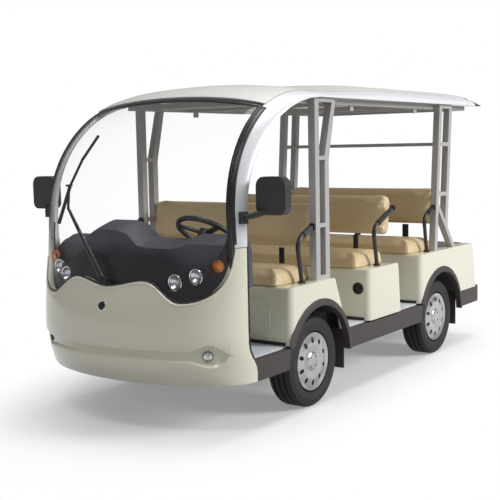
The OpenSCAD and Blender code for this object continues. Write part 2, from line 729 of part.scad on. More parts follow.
// Steel posts from the seat boxes up to the undersides of the backrests
post_t = 10;
function back_foot(row, x) = row[1] + cushion_h + back_gap - fit + (x - back_x(row[0]))*tan(back_lean);
module seat_brackets() {
    color(BLACK) for (row = ROWS, y = [-420, 0, 420]) {
        x = row[0] - cushion_d - fit;
        slab(y - row[2], y + row[2]) polygon([[x, row[1]], [x, back_foot(row, x)],
            [x - post_t, back_foot(row, x - post_t)], [x - post_t, row[1]]]);
    }
}

// Handrails at the bench ends: up from the box, then back to the seat
// Each is a leaning rod, a bend and a rod that climbs back to its end flange
rail_side = half_w - 52;
rail_lean = 10.5;
rail_climb = 22;
rail_bend = 75;
grip_t = 4.5;
module handrail(x, z, end) {
    r = handrail_d/2;
    up = [sin(rail_lean), 0, cos(rail_lean)];
    back = [-cos(rail_climb), 0, sin(rail_climb)];
    turned = 90 + rail_lean - rail_climb;
    bend = rail_bend*tan(turned/2);
    foot = [x - 205, rail_side, z + 6];
    knee = foot + up*258;
    reach = (knee.x - end)/cos(rail_climb) - 8;
    translate([foot.x, rail_side, z]) cylinder(h = 12, r = r + 8, $fn = 32);
    rod(foot, knee - up*(bend - 4), r - 1.5);
    translate(knee - up*bend) rotate([0, rail_lean, 0]) translate([-rail_bend, 0, 0]) rotate([90, 0, 0])
        rotate_extrude(angle = turned, $fn = 48) translate([rail_bend, 0]) circle(r = r, $fn = 32);
    rod(knee + back*(bend - 4), knee + back*reach, r - 0.5);
    rod(knee + back*(bend + 10), knee + back*(reach - 24), r + grip_t);
    translate([end, rail_side, (knee + back*reach).z]) rotate([0, 90, 0]) cylinder(h = 14, r = r + 7, $fn = 32);
}
module handrails() {
    back_end = back_x(row2_x) - back_t*0.75;
    color(BLACK) both_sides() {
        handrail(row1_x, seat_z + fit, mid_front + fit);
        handrail(row2_x, seat_z + fit, back_end);
        translate([back_end + 7, bench_side + fit, seat_z + 350]) rotate([-90, 0, 0])
            cylinder(h = rail_side - bench_side, r = handrail_d/2 - 3, $fn = 32);
        handrail(row3_x, rear_deck_z + fit, axle_r + 30 - 92*340/(roof_z - rear_deck_z) + 3.5);
    }
}

// Wheel wells: half-round liners with a closing wall inside the bus
module wheel_wells() {
    liner = 6;
    color(BLACK) {
        wheel_well(arch_f, BOX1, liner);
        wheel_well(arch_b, BOX3, liner);
    }
}
module wheel_well(x, rows, liner) {
    cavity = shrunk([for (p = rows) [p.x, p.y]], box_t + fit + 1);
    both_sides() intersection() {
        translate([x, 0, wheel_r]) rotate([-90, 0, 0]) difference() {
            translate([0, 0, well_y]) cylinder(h = half_w - box_t - fit - well_y, r = well_r + liner, $fn = 96);
            translate([0, 0, well_y + liner]) cylinder(h = half_w, r = well_r, $fn = 96);
        }
        slab(0, half_w) polygon(cavity);
        translate([-2000, 0, floor_z + fit]) cube([4000, half_w, 600]);
    }
}

// Flares round the wheel openings: an outer face with a lip turned in
module arch_flares() {
    color(CHARCOAL) both_sides() for (x = [arch_f, arch_b])
        translate([x, 0, wheel_r]) rotate([90, 0, 0]) rotate([0, 0, 22]) rotate_extrude(angle = 156, $fn = 96)
            polygon([[arch_r, -half_w + flare_lip], [arch_r, -half_w - flare_proud],
                [arch_r + 10, -half_w - flare_proud - 2], [arch_r + flare_w, -half_w - 4],
                [arch_r + flare_w, -half_w], [arch_r + 10, -half_w], [arch_r + 10, -half_w + flare_lip]]);
}

module mud_flaps() {
    color(BLACK) both_sides() for (x = [arch_f, arch_b])
        translate([x - well_r - 1 + fit, half_w - sill_t - 155, 160]) cube([6, 155 - fit, floor_z - 166]);
}

// Door mirrors on bent arms
mirror_c = [axle_f + 645, half_w + 128, floor_z + 900];
module mirrors() {
    head = [58, 190, 205];
    arm_r = 16;
    u = u_high(floor_z + 785);
    foot = on_body(u, 82, -0.8);
    out = body_normal(u, 82, 0);
    color(BLACK) both_sides() {
        translate(mirror_c) slab_x(-head.x/2, head.x/2) polygon(outline([[-head.y/2, -head.z/2, 40],
            [head.y/2, -head.z/2, 40], [head.y/2, head.z/2, 50], [-head.y/2, head.z/2, 50]]));
        stand_on(foot, out) translate([-32, -22, 0]) cube([64, 44, 26]);
        rod(foot + out*20, mirror_c + [0, -10, -80], arm_r);
    }
}

// Rear lamps, bumper and the block of the drive below
module tail_lamps() {
    low = rear_deck_z - 230;
    high = rear_deck_z - 50;
    thick = 26;
    function face_x(z) = box3_rear_x - rear_slope*(rear_deck_z - z)/(rear_deck_z - floor_z) - fit;
    color([0.65, 0.06, 0.06]) both_sides() slab(half_w - 120, half_w - 40)
        polygon([[face_x(low), low], [face_x(high), high], [face_x(high) - thick, high - 8],
            [face_x(low) - thick, low + 8]]);
}
module rear_bumper() {
    high = floor_z - fit;
    start = arch_b - well_r - 10;
    color(CHARCOAL) difference() {
        translate([0, 0, rear_low]) linear_extrude(high - rear_low)
            polygon(outline([[start, half_w, 0], [tail_x, half_w, 90], [tail_x, -half_w, 90], [start, -half_w, 0]]));
        translate([0, 0, rear_low - 1]) linear_extrude(high - rear_low + 2)
            polygon([[0, half_w - sill_t + fit], [tail_x + 120, half_w - sill_t + fit],
                [tail_x + 120, -half_w + sill_t - fit], [0, -half_w + sill_t - fit]]);
    }
}

// Front axle: a beam with kingpin eyes on leaf springs
eye_h = 70;
// Leaf spring that passes below an axle and meets the chassis rail at its ends
spring_half = 400;
module leaf_spring(x, top) {
    thick = 22;
    rise = floor_low - rail_h - fit - thick - (top - thick);
    function arc_z(i) = top + rise*pow(i/10, 2);
    slab(rail_y - 25, rail_y + 25) polygon(concat(
        [for (i = [-10:10]) [x + spring_half*i/10, arc_z(i)]],
        [for (i = [10:-1:-10]) [x + spring_half*i/10, arc_z(i) - thick]]));
}
beam_r = 26;
module front_axle() {
    z = wheel_r;
    color(STEEL) {
        difference() {
            union() {
                rod([axle_f, -kingpin_y, z], [axle_f, kingpin_y, z], beam_r);
                both_sides() translate([axle_f, kingpin_y, z - eye_h/2]) cylinder(h = eye_h, r = 28, $fn = 48);
            }
            both_sides() translate([axle_f, kingpin_y, z - 100]) cylinder(h = 200, r = kingpin_r + run_fit, $fn = 48);
        }
        both_sides() leaf_spring(axle_f, z - beam_r - fit);
    }
}

// Steering knuckle: a fork round the axle's eye, its kingpin and the spindle
module knuckle() {
    plate = 16;
    reach = knuckle_reach;
        color(STEEL) translate([axle_f, kingpin_y, wheel_r]) {
        for (s = [-1, 1]) translate([0, 0, s*(eye_h/2 + fit + plate/2)]) {
            cylinder(h = plate, r = 28, center = true, $fn = 48);
            translate([-22, 0, -plate/2]) cube([44, reach, plate]);
        }
        translate([-22, reach - 12, -eye_h/2 - fit - plate]) cube([44, 12, eye_h + 2*fit + 2*plate]);
        cylinder(h = eye_h + 2*plate, r = kingpin_r, center = true, $fn = 48);
        translate([0, reach - 1, 0]) rotate([-90, 0, 0]) cylinder(h = hub_out - reach + 1, r = spindle_r, $fn = 48);
    }
}
hub_out = kingpin_offset + 62;
knuckle_reach = 46;
hub_in = knuckle_reach - kingpin_offset + 2;

// Rear axle: tube, differential and the drive motor ahead of it
module rear_axle() {
    z = wheel_r;
    tube_r = 34;
    color(STEEL) {
        rod([axle_r, -wheel_y + 20, z], [axle_r, wheel_y - 20, z], tube_r);
        rod([axle_r, -wheel_y - 62, z], [axle_r, wheel_y + 62, z], spindle_r);
        translate([axle_r, 60, z]) rotate([90, 0, 0]) cylinder(h = 170, r = 105, $fn = 64);
        rod([axle_r + 60, -20, z], [axle_r + 420, -20, z], 95);
        both_sides() leaf_spring(axle_r, z - tube_r - fit);
    }
}

// Tyre section: rounded shoulders, sidewalls and three tread grooves
module tyre(x, y) {
    h = tyre_w/2;
    bead = rim_d/2 + fit;
    side = h - 3;
    color(BLACK) translate([x, y, wheel_r]) rotate([90, 0, 0]) rotate_extrude($fn = 96) polygon(concat(
        [[bead, -h + 28], [bead + 14, -h + 22], [bead + 18, -h + 8]],
        [for (a = [0:15:90]) [lerp(bead + 45, wheel_r - 30, a/90), -h + 3*pow(cos(a*2), 2)]],
        [[wheel_r - 14, -h + 6], [wheel_r - 4, -h + 18], [wheel_r, -h + 32]],
        [for (g = [-40, 0, 40]) each [[wheel_r, g - 5], [wheel_r - 8, g - 4], [wheel_r - 8, g + 4], [wheel_r, g + 5]]],
        [[wheel_r, h - 32], [wheel_r - 4, h - 18], [wheel_r - 14, h - 6]],
        [for (a = [90:-15:0]) [lerp(bead + 45, wheel_r - 30, a/90), h - 3*pow(cos(a*2), 2)]],
        [[bead + 18, h - 8], [bead + 14, h - 22], [bead, h - 28]]));
}

// Wheel: rim barrel, brake drum, hub and the slotted cover on its face
slot_r = rim_d/2 - 40;
function oval(rx, ry, steps) = [for (i = [0:steps - 1]) [rx*cos(360*i/steps), ry*sin(360*i/steps)]];
module wheel(x, y, side) {
    r = rim_d/2;
    color([0.83, 0.84, 0.85]) translate([x, y, wheel_r]) rotate([-90*side, 0, 0]) difference() {
        rotate_extrude($fn = 96) polygon([[spindle_r + run_fit, hub_in], [115, hub_in], [115, 32], [r - 22, 40],
            [r - 8, 36], [r - 8, -58], [r + 6, -62], [r + 6, -tyre_w/2 + 16], [r, -tyre_w/2 + 26],
            [r, tyre_w/2 - 24], [r + 9, tyre_w/2 - 16], [r + 6, tyre_w/2 - 8], [r - 16, tyre_w/2 - 16],
            [r - 60, tyre_w/2 - 6], [60, tyre_w/2 - 14], [48, tyre_w/2 - 6], [0, tyre_w/2 - 4],
            [0, hub_out - kingpin_offset + fit], [spindle_r + run_fit, hub_out - kingpin_offset + fit]]);
        for (i = [0:cover_slots - 1]) rotate([0, 0, 360*(i + 0.5)/cover_slots]) translate([slot_r, 0, 45])
            linear_extrude(60) polygon(oval(19, 14, 20));
        for (i = [0:3]) rotate([0, 0, 90*i + 45]) translate([50*0.78, 0, tyre_w/2 - 12]) cylinder(h = 20, r = 7, $fn = 24);
    }
}

chassis_frame();
floor_deck();
side_sills();
front_cowl();
windscreen();
lamp_panel();
headlamps();
indicators();
fog_lamps();
nose_cap();
wiper();
dashboard();
steering_column();
roof_arches();
roof_panel();
roof_frame();
mid_pillars();
rear_pillars();
seat_base_front();
seat_base_middle();
rear_body();
seat_cushion(0);  // cushion_front
seat_cushion(1);  // cushion_middle
seat_cushion(2);  // cushion_rear
seat_back(0);  // backrest_front
seat_back(1);  // backrest_middle
seat_back(2);  // backrest_rear
seat_brackets();
handrails();
wheel_wells();
arch_flares();
mud_flaps();
mirrors();
tail_lamps();
rear_bumper();
charge_port();
battery_pack();
front_axle();
rear_axle();
knuckle();  // knuckle_left
mirror([0, 1, 0]) knuckle();  // knuckle_right
steering_wheel();
tyre(axle_f, wheel_y);  // tyre_fl
tyre(axle_f, -wheel_y);  // tyre_fr
tyre(axle_r, wheel_y);  // tyre_rl
tyre(axle_r, -wheel_y);  // tyre_rr
wheel(axle_f, wheel_y, 1);  // wheel_fl
wheel(axle_f, -wheel_y, -1);  // wheel_fr
wheel(axle_r, wheel_y, 1);  // wheel_rl
wheel(axle_r, -wheel_y, -1);  // wheel_rr
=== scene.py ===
import math

import bmesh
import bpy
from mathutils import Matrix, Vector


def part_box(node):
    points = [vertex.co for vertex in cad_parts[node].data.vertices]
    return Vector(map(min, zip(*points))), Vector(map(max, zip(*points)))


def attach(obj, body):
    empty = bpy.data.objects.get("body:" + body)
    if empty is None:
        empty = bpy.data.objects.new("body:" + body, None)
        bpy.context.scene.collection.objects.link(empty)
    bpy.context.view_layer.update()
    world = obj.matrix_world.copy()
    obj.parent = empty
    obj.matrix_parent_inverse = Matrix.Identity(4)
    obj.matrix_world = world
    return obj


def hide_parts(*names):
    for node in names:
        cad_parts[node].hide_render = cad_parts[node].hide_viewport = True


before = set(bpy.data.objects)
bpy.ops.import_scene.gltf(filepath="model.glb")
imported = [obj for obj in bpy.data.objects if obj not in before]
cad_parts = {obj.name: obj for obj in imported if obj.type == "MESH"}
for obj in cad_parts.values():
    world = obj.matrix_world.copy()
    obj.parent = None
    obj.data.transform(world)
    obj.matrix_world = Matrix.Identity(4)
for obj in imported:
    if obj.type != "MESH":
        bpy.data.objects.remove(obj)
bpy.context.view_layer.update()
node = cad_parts
scene = bpy.context.scene


# Chassis, axles and knuckles. Welded steel rails and cross members below the
# floor, black chassis paint with a film of road dust; the axles hang on leaf
# springs that meet the rails.
def math_node(tree, operation, first, second):
    """Output of a math node; each input is a socket to link or a plain number."""
    made = tree.nodes.new("ShaderNodeMath")
    made.operation = operation
    for socket, value in zip(made.inputs, (first, second)):
        if isinstance(value, float):
            socket.default_value = value
        else:
            tree.links.new(value, socket)
    return made.outputs[0]


def color_mix(tree, factor, first, second):
    """Output of a colour mix node; the first colour is a socket to link, the second plain numbers."""
    made = tree.nodes.new("ShaderNodeMix")
    made.data_type = "RGBA"
    made.inputs["B"].default_value = (*second, 1)
    tree.links.new(factor, made.inputs["Factor"])
    tree.links.new(first, made.inputs["A"])
    return made.outputs["Result"]


def dust_group():
    """Node group: a colour and a roughness with fine mottling and a little road film low down."""
    g = bpy.data.node_groups.new("road_film", "ShaderNodeTree")
    for name, kind, value in (
        ("Color", "NodeSocketColor", None),
        ("Rough", "NodeSocketFloat", 0.4),
        ("Film", "NodeSocketFloat", 0.2),
        ("Scale", "NodeSocketFloat", 9.0),
    ):
        socket = g.interface.new_socket(name, in_out="INPUT", socket_type=kind)
        if value is not None:
            socket.default_value = value
    g.interface.new_socket("Color", in_out="OUTPUT", socket_type="NodeSocketColor")
    g.interface.new_socket("Rough", in_out="OUTPUT", socket_type="NodeSocketFloat")
    n, link = g.nodes, g.links.new
    gin, gout = n.new("NodeGroupInput"), n.new("NodeGroupOutput")
    coord = n.new("ShaderNodeTexCoord")
    noise = n.new("ShaderNodeTexNoise")
    noise.inputs["Detail"].default_value = 5
    link(coord.outputs["Object"], noise.inputs["Vector"])
    link(gin.outputs["Scale"], noise.inputs["Scale"])
    split = n.new("ShaderNodeSeparateXYZ")
    link(coord.outputs["Object"], split.inputs["Vector"])
    low = n.new("ShaderNodeMapRange")
    low.inputs["From Min"].default_value = 0.62
    low.inputs["From Max"].default_value = 0.15
    link(split.outputs["Z"], low.inputs["Value"])
    amount = math_node(g, "MULTIPLY", low.outputs["Result"], noise.outputs["Fac"])
    film = math_node(g, "MULTIPLY", amount, gin.outputs["Film"])
    dust = (0.30, 0.27, 0.23)
    link(color_mix(g, film, gin.outputs["Color"], dust), gout.inputs["Color"])
    mottle = math_node(g, "MULTIPLY", noise.outputs["Fac"], 0.12)
    link(math_node(g, "ADD", mottle, gin.outputs["Rough"]), gout.inputs["Rough"])
    return g


road_film = dust_group()


def finish_of(name, color, rough, metal=0.0, coat=0.0, film=0.2, scale=9.0, grain=0.0, grain_scale=400.0):
    """Painted, plastic or rubber finish: mottled colour and roughness, with an optional fine grain."""
    m = bpy.data.materials.new(name)
    m.use_nodes = True
    n, link = m.node_tree.nodes, m.node_tree.links.new
    bsdf = n["Principled BSDF"]
    group = n.new("ShaderNodeGroup")
    group.node_tree = road_film
    group.inputs["Color"].default_value = (*color, 1)
    group.inputs["Rough"].default_value = rough - 0.06
    group.inputs["Film"].default_value = film
    group.inputs["Scale"].default_value = scale
    link(group.outputs["Color"], bsdf.inputs["Base Color"])
    link(group.outputs["Rough"], bsdf.inputs["Roughness"])
    bsdf.inputs["Metallic"].default_value = metal
    bsdf.inputs["Coat Weight"].default_value = coat
    bsdf.inputs["Coat Roughness"].default_value = 0.08
    if grain:
        coord = n.new("ShaderNodeTexCoord")
        noise = n.new("ShaderNodeTexNoise")
        noise.inputs["Scale"].default_value = grain_scale
        noise.inputs["Detail"].default_value = 2
        bump = n.new("ShaderNodeBump")
        bump.inputs["Strength"].default_value = grain
        bump.inputs["Distance"].default_value = 0.002
        link(coord.outputs["Object"], noise.inputs["Vector"])
        link(noise.outputs["Fac"], bump.inputs["Height"])
        link(bump.outputs["Normal"], bsdf.inputs["Normal"])
    return m


def dress(names, mat, angle=32):
    """A finish on CAD nodes, their facets shaded smooth up to an angle."""
    for name in names:
        o = node[name]
        o.data.materials.clear()
        o.data.materials.append(mat)
        for face in o.data.polygons:
            face.use_smooth = True
        weld = o.modifiers.new("weld", "WELD")
        weld.merge_threshold = 0.00002
        edge = o.modifiers.new("edges", "EDGE_SPLIT")
        edge.split_angle = math.radians(angle)


chassis_paint = finish_of("chassis_paint", (0.035, 0.036, 0.038), 0.55, film=0.7)
dress(["chassis_frame", "front_axle", "rear_axle", "knuckle_left", "knuckle_right"], chassis_paint)
dress(["battery_pack"], finish_of("battery_case", (0.03, 0.03, 0.032), 0.5))

# Floor. A plate with a pale blue-grey ribbed rubber covering bonded on it, the
# ribs running across the bus.
floor_mat = finish_of("floor_covering", (0.70, 0.74, 0.79), 0.62, film=0.1, grain=0.15, grain_scale=260)
dress(["floor_deck"], floor_mat)

# Sills, flares, flaps and rear bumper. Dark brown-grey moulded plastic with a
# fine grain, screwed on the lower edge of the body; the flaps are rubber.
trim_plastic = finish_of(
    "trim_plastic", (0.048, 0.039, 0.038), 0.58, film=0.12, grain=0.12, grain_scale=600
)
dress(["side_sills", "arch_flares", "rear_bumper"], trim_plastic)
flap_rubber = finish_of("flap_rubber", (0.03, 0.028, 0.028), 0.6, film=0.4)
dress(["mud_flaps"], flap_rubber)
dress(["wheel_wells"], finish_of("well_liner", (0.02, 0.02, 0.02), 0.75, film=0.6))


# Cowl, seat boxes and rear body. Glass-fibre mouldings with a cream gel coat,
# bonded and screwed to the frame; inside the front box, behind the wheels, the faces that look forward are
# near-black painted shade in the wheel arches.
def tinted(mat, where, color):
    """A second colour on a finish, where a mask socket of its tree is one."""
    nodes = mat.node_tree.nodes
    base = next(k for k in nodes if k.type == "GROUP").outputs["Color"]
    mixed = color_mix(mat.node_tree, where, base, color)
    mat.node_tree.links.new(mixed, nodes["Principled BSDF"].inputs["Base Color"])


def place_along_bus(mat):
    """Socket with the distance along the bus of the point being shaded."""
    split = mat.node_tree.nodes.new("ShaderNodeSeparateXYZ")
    coord = mat.node_tree.nodes.new("ShaderNodeTexCoord")
    mat.node_tree.links.new(coord.outputs["Object"], split.inputs["Vector"])
    return split.outputs["X"]


gel_coat = finish_of("cream_gel_coat", (0.79, 0.77, 0.63), 0.30, coat=0.45, film=0.10)
dress(["front_cowl", "seat_base_middle", "rear_body"], gel_coat)
# Copy of the gel coat with painted shade: near-black on the box's forward-facing faces behind the wheels,
# where the arches lie in shade.
painted_arch_shade = gel_coat.copy()
painted_arch_shade.name = "gel_coat_undersealed"
tree = painted_arch_shade.node_tree
facing = tree.nodes.new("ShaderNodeSeparateXYZ")
tree.links.new(tree.nodes.new("ShaderNodeNewGeometry").outputs["Normal"], facing.inputs["Vector"])
faces_ahead = math_node(tree, "GREATER_THAN", facing.outputs["X"], 0.2)
behind_wheels = math_node(tree, "LESS_THAN", place_along_bus(painted_arch_shade), 0.80)
tinted(painted_arch_shade, math_node(tree, "MULTIPLY", faces_ahead, behind_wheels), (0.012, 0.011, 0.011))
dress(["seat_base_front"], painted_arch_shade)

# Roof. Moulded panel in the cream-white of the body over two silver-white side
# arches that carry on from the windscreen pillars and end in dark rubber caps.
roof_white = finish_of("roof_white", (0.80, 0.79, 0.76), 0.32, coat=0.4, film=0.0)
dress(["roof_panel"], roof_white)
arch_silver = finish_of("arch_silver", (0.78, 0.79, 0.82), 0.34, metal=0.08, coat=0.5, film=0.0)
cap_length = 0.12
cap_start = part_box("roof_arches")[0][0] + cap_length
at_tail = math_node(arch_silver.node_tree, "LESS_THAN", place_along_bus(arch_silver), cap_start)
tinted(arch_silver, at_tail, (0.05, 0.048, 0.052))
dress(["roof_arches"], arch_silver)

# Pillars and the tubes under the roof. Folded sheet channels in light grey
# paint, bolted to the seat boxes and to the roof.
pillar_paint = finish_of("pillar_paint", (0.46, 0.45, 0.44), 0.42, coat=0.2, film=0.0)
dress(["mid_pillars", "rear_pillars", "roof_frame"], pillar_paint)

# Windscreen. One curved laminated pane set in a black rubber seal, clear above
# and backed by a black panel at its foot.
glass = bpy.data.materials.new("windscreen_glass")
glass.use_nodes = True
gn, gl = glass.node_tree.nodes, glass.node_tree.links.new
gn.remove(gn["Principled BSDF"])
clear = gn.new("ShaderNodeBsdfTransparent")
clear.inputs["Color"].default_value = (0.998, 1.0, 1.0, 1)
shine = gn.new("ShaderNodeBsdfGlossy")
shine.inputs["Roughness"].default_value = 0.02
edge = gn.new("ShaderNodeFresnel")
edge.inputs["IOR"].default_value = 1.32
from_behind = gn.new("ShaderNodeNewGeometry").outputs["Backfacing"]
front = math_node(glass.node_tree, "SUBTRACT", 1.0, from_behind)
both = gn.new("ShaderNodeMixShader")
gl(math_node(glass.node_tree, "MULTIPLY", edge.outputs["Fac"], front), both.inputs["Fac"])
gl(clear.outputs["BSDF"], both.inputs[1])
gl(shine.outputs["BSDF"], both.inputs[2])
gl(both.outputs["Shader"], gn["Material Output"].inputs["Surface"])
dress(["windscreen"], glass)

# Windscreen seal. A flat black rubber band laid round the edge of the pane, wide
# beside the pillars and below the roof, bonded over the glass's edge.
nose_line = (
    (0.295, 0.305), (0.330, 0.346), (0.400, 0.374), (0.450, 0.382), (0.560, 0.385), (0.650, 0.379),
    (0.725, 0.366), (0.780, 0.348), (0.830, 0.328), (0.900, 0.306), (1.050, 0.270), (1.200, 0.235),
)
nose_foot, nose_top = nose_line[0][0], nose_line[-1][0]
door_x, half_width = 1.465, 0.740
arch_x, arch_length, arch_height = 0.650, 0.815, 0.677
header = 1 + 57 / 90
pane_foot_angle, pane_head_angle = 74, 60


def ease(t):
    """Smooth step from 0 to 1."""
    t = min(1.0, max(0.0, t))
    return t * t * (3 - 2 * t)


def nose_at(z):
    """How far the nose stands ahead of the door edge at a height."""
    for (z0, a), (z1, b) in zip(nose_line, nose_line[1:]):
        if z <= z1:
            return a + (b - a) * (z - z0) / (z1 - z0)
    return nose_line[-1][1]


def height_on_nose(z):
    """Place up the door edge, from 0 to 1, of a height on the nose."""
    return (z - nose_foot) / (nose_top - nose_foot)


def on_body(u, degrees, inset):
    """Point of the nose and arch surface at a place up the door edge and a plan angle."""
    t = math.radians(degrees)
    if u <= 1:
        z = nose_foot + (nose_top - nose_foot) * u
        tuck = 0.075 * ease((0.520 - z) / 0.170)
        x, along, rise, proud = door_x - tuck, 1.0, 0.0, nose_at(z) + tuck
    else:
        phi = math.radians(90 * (u - 1))
        x, z = arch_x + arch_length * math.cos(phi), nose_top + arch_height * math.sin(phi)
        along, rise, proud = math.cos(phi), math.sin(phi), 0.235 - 0.155 * (u - 1)
    out = (proud - inset) * math.cos(t)
    return Vector((x + along * out, (half_width - inset) * math.sin(t), z + rise * out))


def glass_edge(degrees):
    """Height of the pane's wavy lower edge at a plan angle."""
    a = abs(degrees)
    if a <= 20:
        return 0.830 + 0.039 * ease(a / 20)
    if a <= 40:
        return 0.869 - 0.112 * ease((a - 20) / 20)
    return 1.050 - 0.293 * math.sqrt(max(0.0, 1 - ((a - 40) / 34) ** 2))


def on_pane(side, up, inset):
    """Point on the pane: side from -1 to 1 across it, up from 0 at its foot to 1 at the roof."""
    foot = height_on_nose(glass_edge(side * pane_foot_angle))
    half_angle = pane_foot_angle + (pane_head_angle - pane_foot_angle) * up
    return on_body(foot + (header - foot) * up, side * half_angle, inset)


def new_piece(name, bm, mat, body="bus_body", smooth=None):
    """A finished mesh as an object that rides on a body, shaded smooth up to an angle."""
    mesh = bpy.data.meshes.new(name)
    bm.to_mesh(mesh)
    bm.free()
    if smooth is not None:
        mesh.shade_smooth()
        mesh.set_sharp_from_angle(angle=math.radians(smooth))
    mesh.materials.append(mat)
    o = bpy.data.objects.new(name, mesh)
    scene.collection.objects.link(o)
    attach(o, body)
    return o


seal_rubber = finish_of("seal_rubber", (0.016, 0.015, 0.016), 0.38, film=0.0)
seal_columns, seal_rows = 40, 30
foot_band, head_band = 0.012, 0.035
pane_rim = 0.9985


def in_opening(face):
    """Whether a face of the flat grid lies in the opening of the seal."""
    c = face.calc_center_median()
    return abs(c.x) < 0.95 and abs(c.y) < 0.93


def seal_height(row):
    """Place up the pane of a row of the grid; the first and the last row are the narrow bands."""
    if row < 1.02:
        return foot_band * row
    if row < seal_rows - 0.99:
        return foot_band + (1 - head_band - foot_band) * (row - 1) / (seal_rows - 2)
    return 1.0 - head_band * (seal_rows - row)


bm = bmesh.new()
bmesh.ops.create_grid(bm, x_segments=seal_columns, y_segments=seal_rows, size=1)
bmesh.ops.delete(bm, geom=[f for f in bm.faces if in_opening(f)], context="FACES")
for v in bm.verts:
    up = seal_height((v.co.y + 1) / 2 * seal_rows)
    v.co = on_pane(max(-pane_rim, min(pane_rim, v.co.x)), min(pane_rim, max(0.0, up)), 0.0024)
bmesh.ops.recalc_face_normals(bm, faces=bm.faces)
seal = new_piece("windscreen_seal", bm, seal_rubber, smooth=60)
wall = seal.modifiers.new("thickness", "SOLIDIFY")
wall.thickness = 0.0016
wall.offset = 1
lap = bmesh.new()
lap_rows = 40
for side in (1, -1):
    rows = []
    for k in range(1, lap_rows):
        wide = 0.03 + 0.05 * k / lap_rows
        across = ((0.985, 0.002), (1.0, 0.0), (1 + wide / 2, -0.001), (1 + wide, -0.0004))
        rows.append([lap.verts.new(on_pane(side * s, k / lap_rows, inset)) for s, inset in across])
    for a, b in zip(rows, rows[1:]):
        for k in range(3):
            lap.faces.new((a[k], a[k + 1], b[k + 1], b[k])[::side])
bmesh.ops.recalc_face_normals(lap, faces=lap.faces)
laps = new_piece("pillar_seals", lap, seal_rubber, smooth=60)
lap_wall = laps.modifiers.new("thickness", "SOLIDIFY")
lap_wall.thickness = 0.0014
lap_wall.offset = 0


# Cowl lip and edge trim. The gel coat rolls into a round lip below the pane; a thin
# dark joint parts cowl and arch, and rubber edging is pressed on the door edge.
def cord(bm, path, radius, sides=10):
    """Round bead along a path, closed at both ends."""
    rings = []
    for i, p in enumerate(path):
        along = path[min(i + 1, len(path) - 1)] - path[max(i - 1, 0)]
        place = Matrix.Translation(p) @ along.to_track_quat("Z", "Y").to_matrix().to_4x4()
        rings.append(bmesh.ops.create_circle(bm, segments=sides, radius=radius, matrix=place)["verts"])
    for a, b in zip(rings, rings[1:]):
        for k in range(sides):
            bm.faces.new((a[k], a[k - 1], b[k - 1], b[k]))
    bm.faces.new(rings[0])
    bm.faces.new(rings[-1])


lip = bmesh.new()
cord(lip, [on_body(height_on_nose(glass_edge(d) - 0.010), d, 0.003) for d in range(-72, 73)], 0.0085)
bmesh.ops.recalc_face_normals(lip, faces=lip.faces)
new_piece("cowl_lip", lip, gel_coat, smooth=60)
edging = bmesh.new()
for side in (1, -1):
    cord(edging, [on_body(height_on_nose(1.0495), side * d, 0.0008) for d in range(75, 91)], 0.0022)
    door = [on_body(height_on_nose(0.43 + 0.62 * k / 12), side * 90, 0.001) for k in range(13)]
    cord(edging, [p + Vector((-0.002, 0, 0)) for p in door], 0.0065)
bmesh.ops.recalc_face_normals(edging, faces=edging.faces)
new_piece("cowl_edging", edging, seal_rubber, smooth=60)

# Lamp panel, lamps and nose cap. Black moulding behind the glass with round
# headlamps, each a bright pressed reflector with a bulb in a chromed ring.
black_gloss = finish_of("black_panel", (0.016, 0.010, 0.016), 0.25, coat=0.3, film=0.0)
dress(["lamp_panel", "nose_cap"], black_gloss)
chrome = finish_of("lamp_chrome", (0.80, 0.81, 0.83), 0.10, metal=1.0, film=0.0)
facets = finish_of(
    "pressed_reflector", (0.52, 0.54, 0.56), 0.09, metal=1.0, film=0.0, grain=0.9, grain_scale=130
)
bulb_white = finish_of("bulb_glass", (0.85, 0.86, 0.88), 0.15, coat=1.0, film=0.0)


def turned(bm, profile, centre, axis, steps=40):
    """Lathe shape: rows of (distance along the axis, radius) spun round it."""
    axis = Vector(axis).normalized()
    place = Matrix.Translation(centre) @ axis.to_track_quat("Z", "Y").to_matrix().to_4x4()
    verts = [bm.verts.new(place @ Vector((r, 0, a))) for a, r in profile]
    edges = [bm.edges.new(pair) for pair in zip(verts, verts[1:])]
    bmesh.ops.spin(
        bm, geom=verts + edges, cent=centre, axis=axis, angle=2 * math.pi, steps=steps, use_merge=True
    )


def ring_section(back, shoulder, crown, edge_r, crown_r, other_r):
    """Section of a ring to be turned: flat at the back, raised to a crown between its two edges."""
    face = [(back, edge_r), (shoulder, edge_r), (crown, crown_r), (shoulder, other_r), (back, other_r)]
    return face + face[:1]


def outward(u, degrees, inset):
    """Direction straight out of the nose at a place on it."""
    across = on_body(u, degrees + 0.5, inset) - on_body(u, degrees - 0.5, inset)
    upward = on_body(u + 0.005, degrees, inset) - on_body(u - 0.005, degrees, inset)
    return across.cross(upward).normalized()


def closed(bm):
    """A turned mesh with its seam joined and its normals pointing out."""
    bmesh.ops.remove_doubles(bm, verts=bm.verts, dist=0.00005)
    bmesh.ops.recalc_face_normals(bm, faces=bm.faces)
    return bm


